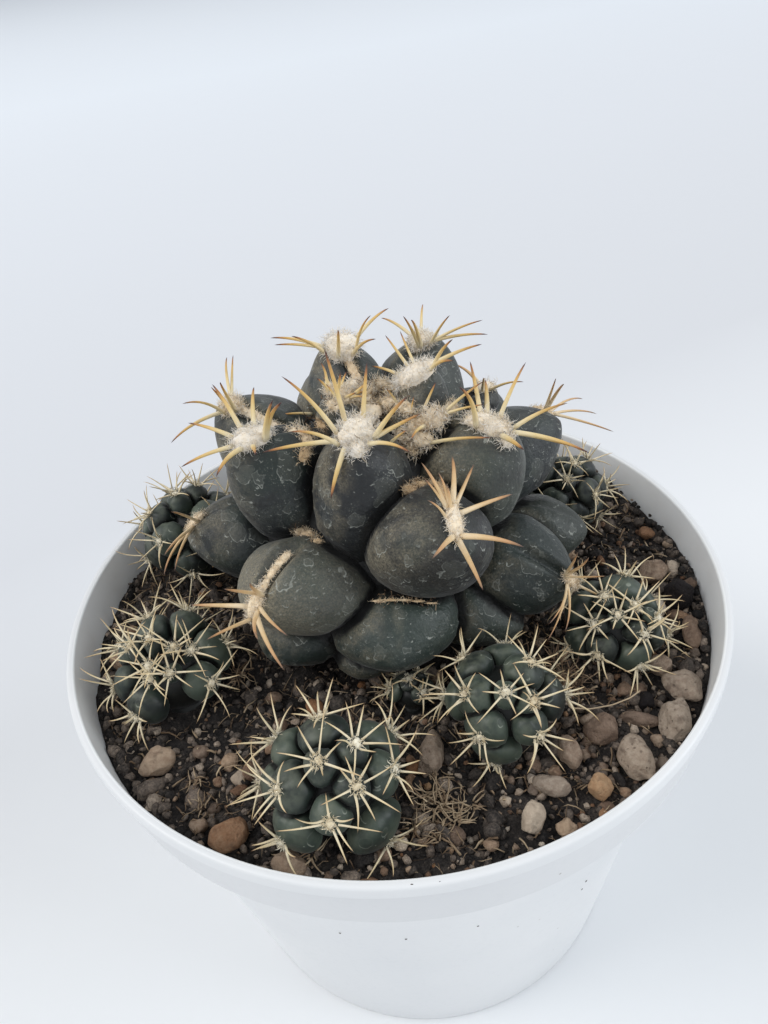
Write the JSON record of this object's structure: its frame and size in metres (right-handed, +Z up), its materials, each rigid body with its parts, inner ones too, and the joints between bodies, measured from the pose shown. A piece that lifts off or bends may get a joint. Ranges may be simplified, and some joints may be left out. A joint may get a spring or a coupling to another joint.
{
  "type": "potted coryphantha andreae",
  "caption": "Old clustering cactus with egg-shaped tubercles, woolly areoles and curved spines, ringed by small spiny offsets in a plain round nursery pot of gritty soil.",
  "frame": {"origin": "middle of the pot's foot, on the surface that the pot stands on", "axes": "+Z up along the pot's axis, -Y towards the viewer of the picture, +X to the viewer's right"},
  "size_m": [0.13, 0.13, 0.1481],
  "materials": {
    "pot": "white satin moulded plastic",
    "soil": "dark crumbly peat with grit",
    "old_skin": "waxy grey-green skin with corky scale marks",
    "young_skin": "waxy dark green skin",
    "pumice": "rough pale pumice",
    "gravel": "matt rounded gravel",
    "dark_stone": "rough dark lump"
  },
  "bodies": {
    "root": {"pot": "pot", "soil": "soil", "main_head": "old_skin", "offset_head_1": "young_skin", "offset_head_2": "young_skin", "offset_head_3": "young_skin", "offset_head_4": "young_skin", "offset_head_5": "young_skin", "offset_head_6": "young_skin", "offset_head_7": "young_skin", "pumice_1": "pumice", "pumice_2": "pumice", "pumice_3": "pumice", "gravel_4": "gravel", "gravel_5": "gravel", "gravel_6": "gravel", "gravel_7": "gravel", "pumice_8": "pumice", "gravel_9": "gravel", "gravel_10": "gravel", "gravel_11": "gravel", "gravel_12": "gravel", "gravel_13": "gravel", "gravel_14": "gravel", "gravel_15": "gravel", "lump_16": "dark_stone", "gravel_17": "gravel", "gravel_18": "gravel", "gravel_19": "gravel"}
  },
  "joints": []
}
